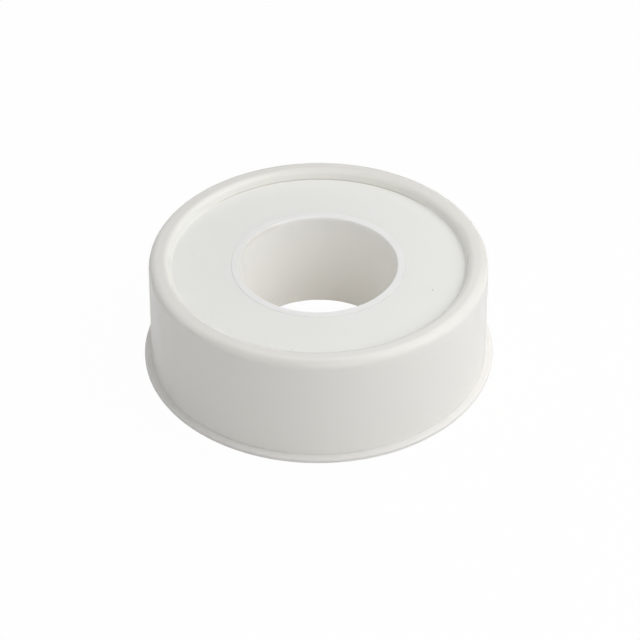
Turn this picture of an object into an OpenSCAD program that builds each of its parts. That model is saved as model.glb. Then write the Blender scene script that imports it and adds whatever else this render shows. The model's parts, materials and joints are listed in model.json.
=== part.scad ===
// Roll of thread seal tape: a moulded spool, the tape wound on its hub, and a cap-shaped
// cover that slides over the winding. Millimetres, +Z up along the bore, underside at zero.

/* [Tape] */
// Width of the tape
tape_w = 12; // [6:0.5:25]
// Thickness of the tape
tape_t = 0.075; // [0.05:0.005:0.2]
// Length of tape on the roll
tape_len = 12000; // [3000:500:25000]
// Stretch of the free end that stands off the roll, in degrees
tail_angle = 28; // [10:2:60]
// How far the tip of the free end stands off the roll
tail_lift = 0.6; // [0.2:0.1:1]

/* [Spool] */
// Diameter of the hole through the hub
bore_d = 21.8; // [12:0.1:40]
// Wall of the hub tube
hub_wall = 1.25; // [0.8:0.05:2.5]
// How far the hub's end stands above the cover's panel
hub_proud = 0.1; // [0.05:0.05:1]
// Rounding of the hub's end on its outside
hub_edge_r = 0.1; // [0.05:0.05:0.3]
// Rounding that leads from the hub's end into the bore
bore_lead_r = 0.5; // [0.2:0.05:2]
// Rounding of the bore's edge on the underside
bore_foot_r = 0.4; // [0.1:0.05:0.5]
// Thickness of the base flange
flange_t = 0.75; // [0.6:0.05:2]
// How far the flange stands out past the cover
flange_lip = 1; // [0.4:0.05:3]
// Rounding of the flange's rim, on both edges
flange_edge_r = 0.3; // [0.1:0.05:0.5]

/* [Cover] */
// Wall of the cover's skirt and rim
cover_wall = 1; // [0.7:0.05:2]
// Lean of the skirt that lets the moulding leave its mould, in degrees
skirt_draft = 1.2; // [0.2:0.1:3]
// Rounding between the skirt and the rim
rim_outer_r = 1.2; // [0.4:0.1:2]
// Rounding between the rim and the sunk panel's wall
rim_inner_r = 1.25; // [0.2:0.05:1.3]
// Width of the groove that hollows the rim from inside
rim_groove = 1; // [0.5:0.1:2]
// Depth of the sunk panel below the rim
recess = 1.4; // [0.5:0.05:2]
// Lean of the sunk panel's wall, in degrees
recess_draft = 12; // [5:1:30]
// Rounding between the sunk panel and its wall
recess_foot_r = 0.15; // [0.1:0.05:0.6]
// Thickness of the sunk panel
panel_t = 1.1; // [0.7:0.05:2.5]
// Rounding of the skirt's outer edge at its mouth
mouth_edge_r = 0.05; // [0.05:0.05:0.4]

/* [Clearances] */
// Gap between the hub and the cover's hole, on the radius
hub_gap = 0.05; // [0.02:0.01:0.1]
// Room between the winding's top edge and the skirt
winding_room = 1.9; // [1.4:0.05:5]
// Room between the winding and the panel above it
tape_room = 1.25; // [0.5:0.05:4]

/* [Hidden] */
$fn = 96;

// Heights, from the underside up
panel_low_z = flange_t + tape_w + tape_room;
panel_z = panel_low_z + panel_t;
rim_z = panel_z + recess;
hub_z = panel_z + hub_proud;

// Radii, from the bore out: the tape's length sets the winding, which sets cover and flange
bore_r = bore_d / 2;
hub_r = bore_r + hub_wall;
hole_r = hub_r + hub_gap;
winding_r = sqrt(hub_r * hub_r + tape_len * tape_t / PI);
skirt_span = cover_wall / cos(skirt_draft);
mouth_r = winding_r + winding_room + skirt_span + tape_w * tan(skirt_draft);
flange_r = mouth_r + flange_lip;

// Fillets, each limited to a share of the wall that carries it
most = 0.95;
end_r = min(hub_edge_r, most * hub_proud);
lead_r = min(bore_lead_r, most * (hub_wall - end_r));
lip_r = min(flange_edge_r, most * flange_t / 2);
foot_r = min(bore_foot_r, most * flange_t);
inner_r = min(rim_inner_r, most * recess);
panel_foot_r = min(recess_foot_r, most * (recess - inner_r));
mouth_round = min(mouth_edge_r, most * cover_wall);

// How far a cut runs past the face that it opens
over = 1;

// Outer radius of the leaning skirt at a height
function skirt_r(z) = mouth_r - (z - flange_t) * tan(skirt_draft);

// Centre of the rounding between skirt and rim, which touches both
outer_z = rim_z - rim_outer_r;
outer_c = skirt_r(outer_z) - rim_outer_r / cos(skirt_draft);

// Foot of the sunk panel's wall, and centre of the rounding at the wall's top
panel_r = skirt_r(panel_z) - skirt_span - rim_groove - cover_wall;
inner_z = rim_z - inner_r;
inner_c = panel_r + (inner_z - panel_z) * tan(recess_draft) + inner_r / cos(recess_draft);

// Centre of the rounding at that wall's foot
foot_z = panel_z + panel_foot_r;
foot_c = panel_r + panel_foot_r * tan(recess_draft) - panel_foot_r / cos(recess_draft);

// Half section of the flange, with both edges of its rim rounded
module flange_section() {
    translate([bore_r, 0])
        square([flange_r - lip_r - bore_r, flange_t]);
    translate([bore_r, lip_r])
        square([flange_r - bore_r, flange_t - 2 * lip_r]);
    for (z = [lip_r, flange_t - lip_r])
        translate([flange_r - lip_r, z])
            circle(lip_r);
}

// Half section of the plain hub tube
module hub_section() {
    translate([bore_r, 0])
        square([hub_wall, hub_z]);
}

// What rounds off a corner of a section: inward points from the corner into the material
module corner_section(corner, r, inward) {
    difference() {
        translate(corner - [r, r])
            square(2 * r);
        translate(corner + r * inward)
            circle(r);
    }
}

module spool() {
    color("white")
        rotate_extrude()
            difference() {
                union() {
                    flange_section();
                    hub_section();
                }
                corner_section([bore_r, hub_z], lead_r, [1, -1]);
                corner_section([hub_r, hub_z], end_r, [-1, -1]);
                corner_section([bore_r, 0], foot_r, [1, 1]);
            }
}

// Outline of the winding: the last turn spirals out by one thickness and its end stands off
turn_steps = 90;
tail_steps = 8;
tail_from = 360 - tail_angle;

function turn_r(a) = winding_r - tape_t * (1 - a / 360);
function lift(a) = a < tail_from ? 0 : tail_lift * pow((a - tail_from) / tail_angle, 2);
function polar(r, a) = [r * cos(a), r * sin(a)];

turn = [for (i = [0 : turn_steps]) let (a = tail_from * i / turn_steps) polar(turn_r(a), a)];
tail_out = [for (i = [1 : tail_steps])
    let (a = tail_from + tail_angle * i / tail_steps)
    polar(turn_r(a) + lift(a), a)];
tail_in = [for (i = [tail_steps : -1 : 1])
    let (a = tail_from + tail_angle * i / tail_steps)
    polar(turn_r(a) + lift(a) - tape_t, a)];
under_tail = [for (i = [0 : tail_steps - 1])
    let (a = tail_from + tail_angle * i / tail_steps)
    polar(turn_r(a) - tape_t, a)];

module tape_winding() {
    color("ghostwhite")
        translate([0, 0, flange_t])
            difference() {
                linear_extrude(tape_w)
                    polygon(concat(turn, tail_out, tail_in, under_tail));
                translate([0, 0, -over])
                    cylinder(r = hub_r, h = tape_w + 2 * over);
            }
}

// Half section of the cover's outside, filled in to the axis
module cover_outside() {
    outer_touch = [outer_c + rim_outer_r * cos(skirt_draft), outer_z + rim_outer_r * sin(skirt_draft)];
    mouth_z = flange_t + mouth_round;
    mouth_c = skirt_r(mouth_z) - mouth_round / cos(skirt_draft);
    mouth_touch = [mouth_c + mouth_round * cos(skirt_draft), mouth_z + mouth_round * sin(skirt_draft)];
    polygon([[0, flange_t], [mouth_c, flange_t], [mouth_c, mouth_z], mouth_touch,
        outer_touch, [outer_c, outer_z], [outer_c, rim_z], [0, rim_z]]);
    translate([outer_c, outer_z])
        circle(rim_outer_r);
    translate([mouth_c, mouth_z])
        circle(mouth_round);
}

// Half section of the air above the sunk panel
module recess_section() {
    inner_touch = [inner_c - inner_r * cos(recess_draft), inner_z + inner_r * sin(recess_draft)];
    difference() {
        polygon([[0, panel_z], [panel_r, panel_z], inner_touch, [inner_c, inner_z],
            [inner_c, rim_z + over], [0, rim_z + over]]);
        translate([inner_c, inner_z])
            circle(inner_r);
        recess_foot_section();
    }
}

// Half section of the material that rounds off the foot of the sunk panel's wall
module recess_foot_section() {
    foot_touch = [foot_c + panel_foot_r * cos(recess_draft), foot_z - panel_foot_r * sin(recess_draft)];
    difference() {
        polygon([[foot_c, panel_z - over], [panel_r + over, panel_z - over], foot_touch, [foot_c, foot_z]]);
        translate([foot_c, foot_z])
            circle(panel_foot_r);
    }
}

// Half section of the air inside the cover: the chamber, and the groove under the rim
module chamber_section() {
    groove_z = rim_z - cover_wall;
    groove_r = skirt_r(panel_low_z) - skirt_span - rim_groove;
    low_z = flange_t - over;
    polygon([[0, low_z], [skirt_r(low_z) - skirt_span, low_z],
        [skirt_r(groove_z) - skirt_span, groove_z], [groove_r, groove_z],
        [groove_r, panel_low_z], [0, panel_low_z]]);
}

module cover() {
    color("white")
        rotate_extrude()
            difference() {
                cover_outside();
                recess_section();
                chamber_section();
                square([hole_r, rim_z + over]);
            }
}

spool();
tape_winding();
cover();
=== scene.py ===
import json
import math

import bpy
import numpy as np
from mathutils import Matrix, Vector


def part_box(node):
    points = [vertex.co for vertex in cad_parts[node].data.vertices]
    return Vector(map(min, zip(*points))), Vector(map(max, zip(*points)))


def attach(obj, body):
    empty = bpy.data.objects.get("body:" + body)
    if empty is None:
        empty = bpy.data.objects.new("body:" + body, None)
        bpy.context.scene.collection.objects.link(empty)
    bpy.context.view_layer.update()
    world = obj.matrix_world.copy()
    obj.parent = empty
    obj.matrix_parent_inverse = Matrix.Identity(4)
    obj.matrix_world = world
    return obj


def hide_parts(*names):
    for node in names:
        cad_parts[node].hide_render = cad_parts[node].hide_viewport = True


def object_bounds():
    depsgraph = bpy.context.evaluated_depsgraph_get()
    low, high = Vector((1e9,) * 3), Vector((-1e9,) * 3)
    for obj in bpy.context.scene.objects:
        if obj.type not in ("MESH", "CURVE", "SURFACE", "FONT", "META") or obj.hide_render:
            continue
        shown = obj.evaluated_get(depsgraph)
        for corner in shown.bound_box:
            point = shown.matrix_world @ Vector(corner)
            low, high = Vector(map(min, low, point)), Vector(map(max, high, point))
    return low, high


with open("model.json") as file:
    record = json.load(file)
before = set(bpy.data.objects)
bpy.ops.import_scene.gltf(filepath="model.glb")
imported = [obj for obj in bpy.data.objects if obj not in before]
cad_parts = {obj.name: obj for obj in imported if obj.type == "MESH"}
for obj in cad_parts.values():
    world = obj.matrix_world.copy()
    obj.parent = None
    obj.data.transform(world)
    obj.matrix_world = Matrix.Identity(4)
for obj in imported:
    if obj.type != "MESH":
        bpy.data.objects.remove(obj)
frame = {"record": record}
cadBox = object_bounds()      # the solids' own box, before any dressing
mm = 0.001


def boxInMm(nodeName):
    low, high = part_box(nodeName)
    return np.array(low) / mm, np.array(high) / mm


coverLow, coverHigh = boxInMm("cover")
flangeR = boxInMm("spool")[1][0]
tapeLow, tapeHigh = boxInMm("tape_winding")
boreMount = next(m for m in frame["record"]["mounts"] if m["name"] == "hub_bore")
boreR = boreMount["dims"]["r_mm"]
hubR = 12.15              # outside of the hub, which the tape is wound on and the cover goes over
seatZ = coverLow[2]       # the cover's mouth stands on the flange at this height
print("frame loaded, part", np.round((np.array(cadBox[1]) - np.array(cadBox[0])) / mm, 2), "mm")


# Shapes: every piece is an array of points, rows along its path and columns round its section

def arcPoints(centre, radius, fromDeg, toDeg, steps=10):
    # centre + radius (cos, sin) at even angles
    angle = np.radians(np.linspace(fromDeg, toDeg, steps + 1))
    return np.array(centre) + radius * np.stack([np.cos(angle), np.sin(angle)], 1)


def linePoints(start, end, steps=12):
    # straight line whose points crowd towards both ends by a cosine, so flats stay flat when shaded smooth
    share = (1 - np.cos(np.linspace(0, np.pi, steps + 1))) / 2
    return np.array(start) + share[:, None] * (np.array(end) - np.array(start))


def closedProfile(arcs, least=1e-5):
    # arcs joined by straight lines into one closed section, with points that repeat taken out
    stretches = []
    for arc, following in zip(arcs, arcs[1:] + arcs[:1]):
        stretches += [arc, linePoints(arc[-1], following[0])]
    points = np.concatenate(stretches)
    step = np.linalg.norm(points - np.roll(points, 1, axis=0), axis=1)
    return points[step > least]


def turnedPoints(profile, turns=384):
    # a section (radius, height) carried round the axis: x = r cos a, y = r sin a, z = height
    angle = np.linspace(0, 2 * np.pi, turns, endpoint=False)[:, None]
    radius, height = profile[None, :, 0], profile[None, :, 1]
    return np.stack([radius * np.cos(angle), radius * np.sin(angle), height + 0 * angle], 2)


def buildMesh(name, points, ringed=True):
    # one quad between each point, the next along the path and the next round the section
    rows, cols = points.shape[:2]
    index = np.arange(rows * cols).reshape(rows, cols)
    ahead = np.roll(index, -1, axis=0)
    here, there = (index, ahead) if ringed else (index[:-1], ahead[:-1])
    quads = np.stack([here, there, np.roll(there, -1, axis=1), np.roll(here, -1, axis=1)], 2)
    faces = quads.reshape(-1, 4).tolist()
    if not ringed:
        faces += [index[0].tolist(), index[-1][::-1].tolist()]    # flat caps on the two cut ends
    mesh = bpy.data.meshes.new(name)
    mesh.from_pydata((points.reshape(-1, 3) * mm).tolist(), [], faces)
    mesh.polygons.foreach_set("use_smooth", np.ones(len(faces), bool))
    mesh.update()
    piece = bpy.data.objects.new(name, mesh)
    bpy.context.scene.collection.objects.link(piece)
    print("made", name, len(faces), "faces")
    return piece


# Cover: the cap that shows most, in millimetres and degrees
coverSizes = {
    "wall": 1.0,
    "skirtDraft": 1.2,
    "rimOuterRound": 1.2,
    "rimInnerRound": 0.9,
    "rimGroove": 1.0,
    "recess": 1.4,
    "recessDraft": 15.0,
    "recessFoot": 0.28,       # small round where the sunk panel meets its wall
    "panel": 1.1,
    "mouthRound": 0.03,
    "holeGap": 0.003,
    "holeRound": 0.008,
    "coreRound": 0.3,         # rounds on the hidden inside
}


def coverProfile(s):
    lean = math.radians(s["skirtDraft"])
    slope = math.radians(s["recessDraft"])
    rimZ, mouthR = coverHigh[2], coverHigh[0]
    panelZ = rimZ - s["recess"]
    panelLow = panelZ - s["panel"]
    span = s["wall"] / math.cos(lean)

    def skirtR(z):
        return mouthR - (z - seatZ) * math.tan(lean)

    def leaningCentre(z, r):
        return (skirtR(z) - r / math.cos(lean), z)

    mouthC = leaningCentre(seatZ + s["mouthRound"], s["mouthRound"])
    outerC = leaningCentre(rimZ - s["rimOuterRound"], s["rimOuterRound"])
    panelR = skirtR(panelZ) - span - s["rimGroove"] - s["wall"]
    innerZ = rimZ - s["rimInnerRound"]
    innerR = panelR + (innerZ - panelZ) * math.tan(slope) + s["rimInnerRound"] / math.cos(slope)
    footZ = panelZ + s["recessFoot"]
    footR = panelR + s["recessFoot"] * math.tan(slope) - s["recessFoot"] / math.cos(slope)
    holeR = hubR + s["holeGap"]
    edge, core = s["holeRound"], s["coreRound"]
    grooveZ = rimZ - s["wall"]
    grooveR = skirtR(panelLow) - span - s["rimGroove"]
    insideTop = skirtR(grooveZ) - span
    insideLow = skirtR(seatZ) - span

    arcs = [
        arcPoints(mouthC, s["mouthRound"], -90, s["skirtDraft"], 6),
        arcPoints(outerC, s["rimOuterRound"], s["skirtDraft"], 90, 18),
        arcPoints((innerR, innerZ), s["rimInnerRound"], 90, 180 - s["recessDraft"], 14),
        arcPoints((footR, footZ), s["recessFoot"], -s["recessDraft"], -90, 6),
        arcPoints((holeR + edge, panelZ - edge), edge, 90, 180, 5),
        arcPoints((holeR + edge, panelLow + edge), edge, 180, 270, 5),
        arcPoints((grooveR - edge, panelLow + edge), edge, -90, 0, 5),
        arcPoints((grooveR + core, grooveZ - core), core, 180, 90, 6),
        arcPoints((insideTop - core, grooveZ - core), core, 90, 0, 6),
        arcPoints((insideLow + edge, seatZ + edge), edge, 180, 270, 5),
    ]
    return closedProfile(arcs)


coverShell = buildMesh("coverShell", turnedPoints(coverProfile(coverSizes)))
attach(coverShell, "cover")
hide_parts("cover")


# Spool: base flange and hub in one moulding
spoolSizes = {
    "flange": seatZ,
    "flangeEdge": 0.3,
    "hubProud": 0.04,         # how far the hub's end stands above the cover's panel
    "hubFoot": 0.1,
    "hubEdge": 0.04,
    "boreLead": (0.3, 1.0),   # quarter ellipse from the hub's end into the bore, across and down
    "boreFoot": 0.4,
}


def spoolProfile(s):
    top = s["flange"]
    hubZ = coverHigh[2] - coverSizes["recess"] + s["hubProud"]
    edge, lead, foot = s["flangeEdge"], np.array(s["boreLead"]), s["boreFoot"]
    root, rim = s["hubFoot"], s["hubEdge"]
    arcs = [
        arcPoints((flangeR - edge, edge), edge, -90, 0, 8),
        arcPoints((flangeR - edge, top - edge), edge, 0, 90, 8),
        arcPoints((hubR + root, top + root), root, 270, 180, 4),
        arcPoints((hubR - rim, hubZ - rim), rim, 0, 90, 8),
        arcPoints((boreR + lead[0], hubZ - lead[1]), lead, 90, 180, 24),
        arcPoints((boreR + foot, foot), foot, 180, 270, 8),
    ]
    return closedProfile(arcs)


spoolBody = buildMesh("spoolBody", turnedPoints(spoolProfile(spoolSizes)))
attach(spoolBody, "spool")
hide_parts("spool")


# Tape: many turns as one core, and the last turn as a ribbon whose end stands off
tapeSizes = {
    "thick": 0.075,
    "length": 12000.0,
    "tailDegrees": 28.0,
    "tailLift": 0.6,
    "tailCurl": 0.12,         # how far the free end's tip curls across its width
    "curlWaves": 2.3,
    "layerStep": 0.035,       # how unevenly the turns' edges lie
    "clearance": 0.02,        # keeps the winding off the hub and the flange
    "coreInset": 0.05,        # the core's side stops this far from its ends
    "endInset": 0.06,         # the last turn stays this far inside the tape's width
    "longSway": 0.03,         # how far the last turn's edges wander, in a few long waves
    "longWaves": 3,
    "longShift": 0.6,
    "shortSway": 0.02,        # and in more, shorter ones
    "shortWaves": 7,
}
tapeRng = np.random.default_rng(7)


def windingRadius(s):
    # ring between hub and winding has the area that the tape's edge has
    return math.sqrt(hubR ** 2 + s["length"] * s["thick"] / math.pi)


def tapeCorePoints(s, turns=288, layers=150, sideSteps=24, blur=3):
    # section of the wound turns: outer radius grows by one thickness a turn, and both ends carry
    # the uneven edges of the turns as a smoothed random height for each layer
    angle = np.linspace(0, 2 * np.pi, turns, endpoint=False)[:, None]
    outer = windingRadius(s) - s["thick"] * (2 - angle / (2 * np.pi))
    inner = hubR + s["clearance"]
    low, high = tapeLow[2], tapeHigh[2]
    rough = tapeRng.normal(0, 1, (2, layers))
    soft = np.stack([np.convolve(r, np.ones(blur) / blur, "same") for r in rough]) * s["layerStep"]
    share = np.linspace(0, 1, layers)[None, :]
    topR = outer + (inner - outer) * share
    topZ = high - np.abs(soft[0])[None, :] + 0 * angle
    lowR = topR[:, ::-1]
    lowZ = low + s["clearance"] + np.abs(soft[1])[None, :] + 0 * angle
    sideZ = np.linspace(low + s["coreInset"], high - s["coreInset"], sideSteps)[None, :] + 0 * angle
    sideR = outer + 0 * sideZ
    radius = np.concatenate([sideR, topR, lowR], 1)
    height = np.concatenate([sideZ, topZ, lowZ], 1)
    return np.stack([radius * np.cos(angle), radius * np.sin(angle), height], 2)


def tapeEndPoints(s, steps=420, acrossSteps=25):
    # ribbon section carried along the last turn: radius grows by one thickness, and over the last
    # stretch a square law lifts it off and a cube law curls its tip; its edges sway by two sines
    share = np.linspace(0, 1, steps)[:, None]
    angle = 2 * np.pi * share
    tail = np.clip((share * 360 - (360 - s["tailDegrees"])) / s["tailDegrees"], 0, 1)
    inner = windingRadius(s) - s["thick"] * (2 - share) + s["tailLift"] * tail ** 2
    longWave = s["longSway"] * np.sin(angle * s["longWaves"] + s["longShift"])
    sway = longWave + s["shortSway"] * np.sin(angle * s["shortWaves"])
    low, high = tapeLow[2] + s["endInset"], tapeHigh[2] - s["endInset"]
    across = np.linspace(0, 1, acrossSteps)[None, :]
    curl = s["tailCurl"] * tail ** 3 * np.sin(np.pi * across * s["curlWaves"])
    upZ = low + (high - low) * across + sway
    outR = inner + s["thick"] + curl
    radius = np.concatenate([outR, (inner + curl)[:, ::-1]], 1)
    height = np.concatenate([upZ, upZ[:, ::-1]], 1)
    return np.stack([radius * np.cos(angle), radius * np.sin(angle), height], 2)


tapeCore = buildMesh("tapeCore", tapeCorePoints(tapeSizes))
tapeEnd = buildMesh("tapeEnd", tapeEndPoints(tapeSizes), ringed=False)
for piece in (tapeCore, tapeEnd):
    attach(piece, "spool")
    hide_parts("tape_winding")


# Finishes: sums on values are written as plain arithmetic, and each adds its own Math node

class Wire:
    def __init__(self, tree, socket):
        self.tree, self.socket = tree, socket

    def node(self, kind, settings=None, values=None, out=0):
        made = self.tree.nodes.new("ShaderNode" + kind)
        for key, value in (settings or {}).items():
            setattr(made, key, value)
        for key, value in (values or {}).items():
            if isinstance(value, Wire):
                self.tree.links.new(value.socket, made.inputs[key])
            else:
                made.inputs[key].default_value = value
        return Wire(self.tree, made.outputs[out] if made.outputs else None)

    def sum(self, operation, first, second):
        return self.node("Math", {"operation": operation}, {0: first, 1: second})

    def __add__(self, other):
        return self.sum("ADD", self, other)

    def __radd__(self, other):
        return self.sum("ADD", other, self)

    def __sub__(self, other):
        return self.sum("SUBTRACT", self, other)

    def __rsub__(self, other):
        return self.sum("SUBTRACT", other, self)

    def __mul__(self, other):
        return self.sum("MULTIPLY", self, other)

    def __rmul__(self, other):
        return self.sum("MULTIPLY", other, self)

    def __lt__(self, other):
        return self.sum("LESS_THAN", self, other)

    def __gt__(self, other):
        return self.sum("GREATER_THAN", self, other)


def eased(wire, low, high):
    # 0 at low, 1 at high, with a smooth step between
    step = {"interpolation_type": "SMOOTHSTEP"}
    return wire.node("MapRange", step, {"Value": wire, "From Min": low, "From Max": high})


def mixed(share, first, second):
    # colours or links to them, mixed by a value
    return share.node("Mix", {"data_type": "RGBA"}, {"Factor": share, 6: first, 7: second}, 2)


def startFinish(name, constants):
    # a material with its shader's fixed numbers set; gives it with the shader and object coordinates
    paint = bpy.data.materials.new(name)
    paint.use_nodes = True
    shader = next(n for n in paint.node_tree.nodes if n.type == "BSDF_PRINCIPLED")
    for key, value in constants.items():
        shader.inputs[key].default_value = value
    coords = paint.node_tree.nodes.new("ShaderNodeTexCoord")
    return paint, shader, Wire(paint.node_tree, coords.outputs["Object"])


def feed(shader, **links):
    for key, wire in links.items():
        wire.tree.links.new(wire.socket, shader.inputs[key.replace("_", " ")])


plasticLook = {
    "pale": (0.968, 0.955, 0.895, 1.0),
    "dull": (0.955, 0.94, 0.872, 1.0),
    "handled": (0.855, 0.842, 0.805, 1.0),   # painted shade: the raised rim's top and outer round made darker than the sunk panel
    "handledZ": (0.0156, 0.0164),
    "handledR": (0.0208, 0.0215),
    "speck": (0.55, 0.52, 0.47, 1.0),
    "spots": [                               # the few specks that stand out: place, radius, strength
        ((0.0157, -0.0062, 0.0151), 0.00017, 0.55),
        ((-0.0035, -0.0190, 0.0151), 0.00016, 0.32),
        ((-0.0114, -0.0209, 0.0157), 0.00018, 0.30),
        ((-0.0176, 0.0021, 0.0151), 0.00014, 0.20),
    ],
    "spot": (0.24, 0.21, 0.17, 1.0),
    "spotCore": 0.2,                         # share of a spot's radius that is fully dark
    "lines": [                               # painted shade in the crease at the sunk panel's edge, at the back
        {"radius": 0.02060, "half": 0.00016, "axis": 1, "side": (0.0115, 0.0165),
         "height": (0.0155, 0.0152), "strength": 0.5},
    ],
    # colour of the painted shade lines
    "line": (0.38, 0.365, 0.345, 1.0),
    "cloudScale": 90.0,
    "grainScale": 5200.0,
    "grainDepth": 0.0000035,
    "speckCell": 0.0016,
    "speckRadius": 0.00009,
    "speckShare": 0.93,
    "roughness": 0.23,
    "roughnessSway": 0.04,
}


def moulded(name, look, offset):
    paint, shader, place = startFinish(name, {
        "IOR": 1.48,
        "Subsurface Weight": 1.0,
        "Subsurface Radius": (1.0, 1.0, 1.0),
        "Subsurface Scale": 0.00015,
    })
    along = [place.node("SeparateXYZ", None, {0: place}, axis) for axis in range(3)]
    height = along[2]
    flat = place.node("VectorMath", {"operation": "MULTIPLY"}, {0: place, 1: (1, 1, 0)})
    spread = place.node("VectorMath", {"operation": "LENGTH"}, {0: flat}, 1)
    # masks for the painted shade, by height and by distance from the axis
    high, wide = eased(height, *look["handledZ"]), eased(spread, *look["handledR"])
    moved = place.node("Mapping", None, {"Vector": place, "Location": offset})    # so no two pieces match
    cloud = place.node("TexNoise", None, {"Vector": moved, "Scale": look["cloudScale"], "Detail": 4.0})
    grain = place.node("TexNoise", None, {"Vector": moved, "Scale": look["grainScale"], "Detail": 3.0})
    specks = place.node("TexVoronoi", None, {"Vector": moved, "Scale": 1 / look["speckCell"]})
    kept = Wire(specks.tree, specks.socket.node.outputs["Color"]) > look["speckShare"]
    speck = (specks < look["speckRadius"] / look["speckCell"]) * kept
    tone = mixed(cloud, look["dull"], look["pale"])
    # painted shade mixed in where both masks hold
    tone = mixed(high * wide, tone, look["handled"])
    tone = mixed(speck, tone, look["speck"])
    for spotAt, radius, strength in look["spots"]:
        away = place.node("VectorMath", {"operation": "DISTANCE"}, {0: place, 1: spotAt}, 1)
        mark = eased(away, radius, radius * look["spotCore"]) * strength
        tone = mixed(mark, tone, look["spot"])
    # painted shade lines along a crease or an edge, each on one side only
    for line in look["lines"]:
        near = eased(place.sum("ABSOLUTE", spread - line["radius"], 0.0), line["half"], 0.0)
        side, level = eased(along[line["axis"]], *line["side"]), eased(height, *line["height"])
        tone = mixed(near * side * level * line["strength"], tone, look["line"])
    rough = look["roughness"] + (cloud - 0.5) * look["roughnessSway"]
    bump = place.node("Bump", None, {"Height": grain, "Distance": look["grainDepth"], "Strength": 1.0})
    feed(shader, Base_Color=tone, Roughness=rough, Normal=bump)
    return paint


tapeLook = {
    "pale": (0.88, 0.88, 0.87, 1.0),
    "dull": (0.80, 0.80, 0.79, 1.0),
    "fibreScale": 2600.0,
    "fibreStretch": (0.12, 0.12, 1.0),
    "fibreDepth": 0.000006,
    "roughness": 0.55,
    "roughnessSway": 0.2,
}


def sealTape(name, look):
    paint, shader, place = startFinish(name, {
        "IOR": 1.36,
        "Subsurface Weight": 0.25,
        "Subsurface Radius": (1.0, 1.0, 1.0),
        "Subsurface Scale": 0.0008,
        "Sheen Weight": 0.15,
    })
    stretched = place.node("Mapping", None, {"Vector": place, "Scale": look["fibreStretch"]})
    fibre = place.node("TexNoise", None, {"Vector": stretched, "Scale": look["fibreScale"], "Detail": 3.0})
    tone = mixed(fibre, look["dull"], look["pale"])
    rough = look["roughness"] + (fibre - 0.5) * look["roughnessSway"]
    bump = place.node("Bump", None, {"Height": fibre, "Distance": look["fibreDepth"], "Strength": 1.0})
    feed(shader, Base_Color=tone, Roughness=rough, Normal=bump)
    return paint


spoolLook = dict(
    plasticLook,
    pale=(0.964, 0.952, 0.913, 1.0),
    dull=(0.952, 0.938, 0.896, 1.0),
    handledZ=(-0.002, -0.001),               # painted shade at any height, but only out on the lip
    handledR=(0.0237, 0.0241),
    # colour of the painted shade on the flange's lip
    handled=(0.875, 0.866, 0.846, 1.0),
    spots=[],
    lines=[                                  # painted shade line at the bore's edge, on one side only
        {"radius": 0.01106, "half": 0.0002, "axis": 0, "side": (-0.0045, -0.0075),
         "height": (0.0143, 0.0147), "strength": 0.28},
    ],
    roughness=0.42,
)
coverShell.data.materials.append(moulded("coverPlastic", plasticLook, (0.0, 0.0, 0.0)))
spoolBody.data.materials.append(moulded("spoolPlastic", spoolLook, (0.3, 0.1, 0.2)))
tapePaint = sealTape("tapeFilm", tapeLook)
tapeCore.data.materials.append(tapePaint)
tapeEnd.data.materials.append(tapePaint)
print("finishes set")


# Camera: where the photograph was taken from, in millimetres and degrees
cameraView = {
    "target": (0.185, 0.0, 4.997),
    "distance": 303.06,
    "elevation": 38.366,
    "roll": -0.245,
    "focalPixels": 2124.3,
    "imagePixels": 640,
}


def placeCamera(v):
    up, roll = math.radians(v["elevation"]), math.radians(v["roll"])
    back = np.array([0, -math.cos(up), math.sin(up)])
    flatRight, flatUp = np.array([1.0, 0, 0]), np.array([0, math.sin(up), math.cos(up)])
    right = flatRight * math.cos(roll) + flatUp * math.sin(roll)
    over = flatUp * math.cos(roll) - flatRight * math.sin(roll)
    lens = bpy.data.cameras.new("photoCamera")
    lens.sensor_width = 36.0
    lens.lens = lens.sensor_width * v["focalPixels"] / v["imagePixels"]
    lens.clip_start, lens.clip_end = 0.01, 20.0
    camera = bpy.data.objects.new("photoCamera", lens)
    bpy.context.scene.collection.objects.link(camera)
    at = (np.array(v["target"]) + back * v["distance"]) * mm
    turned = np.eye(4)
    turned[:3, 0], turned[:3, 1], turned[:3, 2], turned[:3, 3] = right, over, back, at
    camera.matrix_world = turned.T.tolist()
    bpy.context.scene.camera = camera


placeCamera(cameraView)
print("camera set")


# Studio: white floor and world to the eye, soft boxes for the light
studio = {
    "floorSize": 4.0,
    "floorDrop": 0.00002,
    "floorColour": (0.80, 0.777, 0.757, 1.0),
    "bounces": 16,            # light goes on from wall to wall inside the white bore
    "whiteShare": 0.975,      # how much of the floor is plain white to the eye; the rest keeps the shadow
    "glossShare": 0.5,        # how much of that white the plastic's dull reflections show
}
softBoxes = [
    {"name": "keyBox", "azimuth": 334.0, "elevation": 41.0, "distance": 0.22, "size": 0.14, "watts": 0.11},
    {"name": "frontBox", "azimuth": 280.0, "elevation": 25.0, "distance": 0.35, "size": 0.20, "watts": 0.21},
    {"name": "rightBox", "azimuth": 2.0, "elevation": 47.0, "distance": 0.28, "size": 0.40, "watts": 0.40},
    {"name": "backBox", "azimuth": 45.0, "elevation": 60.0, "distance": 0.50, "size": 0.50, "watts": 0.64},
    {"name": "topBox", "azimuth": 90.0, "elevation": 85.0, "distance": 0.40, "size": 0.60, "watts": 0.29},
    {"name": "leftBox", "azimuth": 222.0, "elevation": 22.0, "distance": 0.35, "size": 0.22, "watts": 0.13},
    {"name": "farBox", "azimuth": 120.0, "elevation": 20.0, "distance": 0.35, "size": 0.20, "watts": 0.07},
    {"name": "sideBox", "azimuth": 160.0, "elevation": 35.0, "distance": 0.35, "size": 0.25, "watts": 0.205},
]


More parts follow.
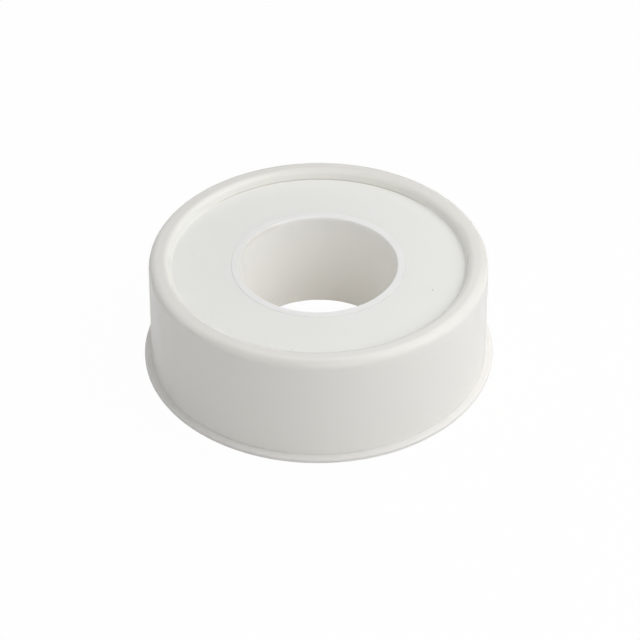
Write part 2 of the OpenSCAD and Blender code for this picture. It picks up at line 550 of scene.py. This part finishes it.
def seenDirectly(wire):
    # 1 for rays that the eye or glass sends out, and a share for reflections
    path = wire.node("LightPath").socket.node.outputs
    kinds = ("Camera", "Glossy", "Transmission")
    eye, gloss, glass = (Wire(wire.tree, path["Is " + kind + " Ray"]) for kind in kinds)
    return wire.sum("MINIMUM", eye + glass + gloss * studio["glossShare"], 1.0)


def layFloor(s):
    half = s["floorSize"] / 2
    corners = [(-half, -half), (half, -half), (half, half), (-half, half)]
    mesh = bpy.data.meshes.new("floor")
    mesh.from_pydata([(x, y, float(cadBox[0].z) - s["floorDrop"]) for x, y in corners], [], [(0, 1, 2, 3)])
    floor = bpy.data.objects.new("floor", mesh)
    bpy.context.scene.collection.objects.link(floor)
    paint = bpy.data.materials.new("floorPaper")
    paint.use_nodes = True
    tree = paint.node_tree
    tree.nodes.clear()
    start = Wire(tree, None)
    paper = start.node("BsdfDiffuse", None, {"Color": s["floorColour"]})
    white = start.node("Emission", None, {"Color": (1, 1, 1, 1), "Strength": 1.0})
    both = start.node("MixShader", None, {0: seenDirectly(start) * s["whiteShare"], 1: paper, 2: white})
    start.node("OutputMaterial", None, {"Surface": both})
    mesh.materials.append(paint)


def hangWorld():
    world = bpy.data.worlds.new("studioWorld")
    bpy.context.scene.world = world
    world.use_nodes = True
    tree = world.node_tree
    tree.nodes.clear()
    start = Wire(tree, None)
    sky = start.node("Background", None, {"Color": (1, 1, 1, 1), "Strength": seenDirectly(start)})
    start.node("OutputWorld", None, {"Surface": sky})


def hangBox(s):
    turn, rise = math.radians(s["azimuth"]), math.radians(s["elevation"])
    way = np.array([math.cos(turn) * math.cos(rise), math.sin(turn) * math.cos(rise), math.sin(rise)])
    lamp = bpy.data.lights.new(s["name"], "AREA")
    lamp.shape, lamp.size, lamp.energy = "SQUARE", s["size"], s["watts"]
    box = bpy.data.objects.new(s["name"], lamp)
    bpy.context.scene.collection.objects.link(box)
    box.location = way * s["distance"]
    box.rotation_mode = "QUATERNION"
    box.rotation_quaternion = box.location.to_track_quat("Z", "Y")


layFloor(studio)
hangWorld()
for spec in softBoxes:
    hangBox(spec)
bpy.context.scene.cycles.max_bounces = bpy.context.scene.cycles.diffuse_bounces = studio["bounces"]
bpy.context.scene.view_settings.view_transform = "Standard"
print("studio set")
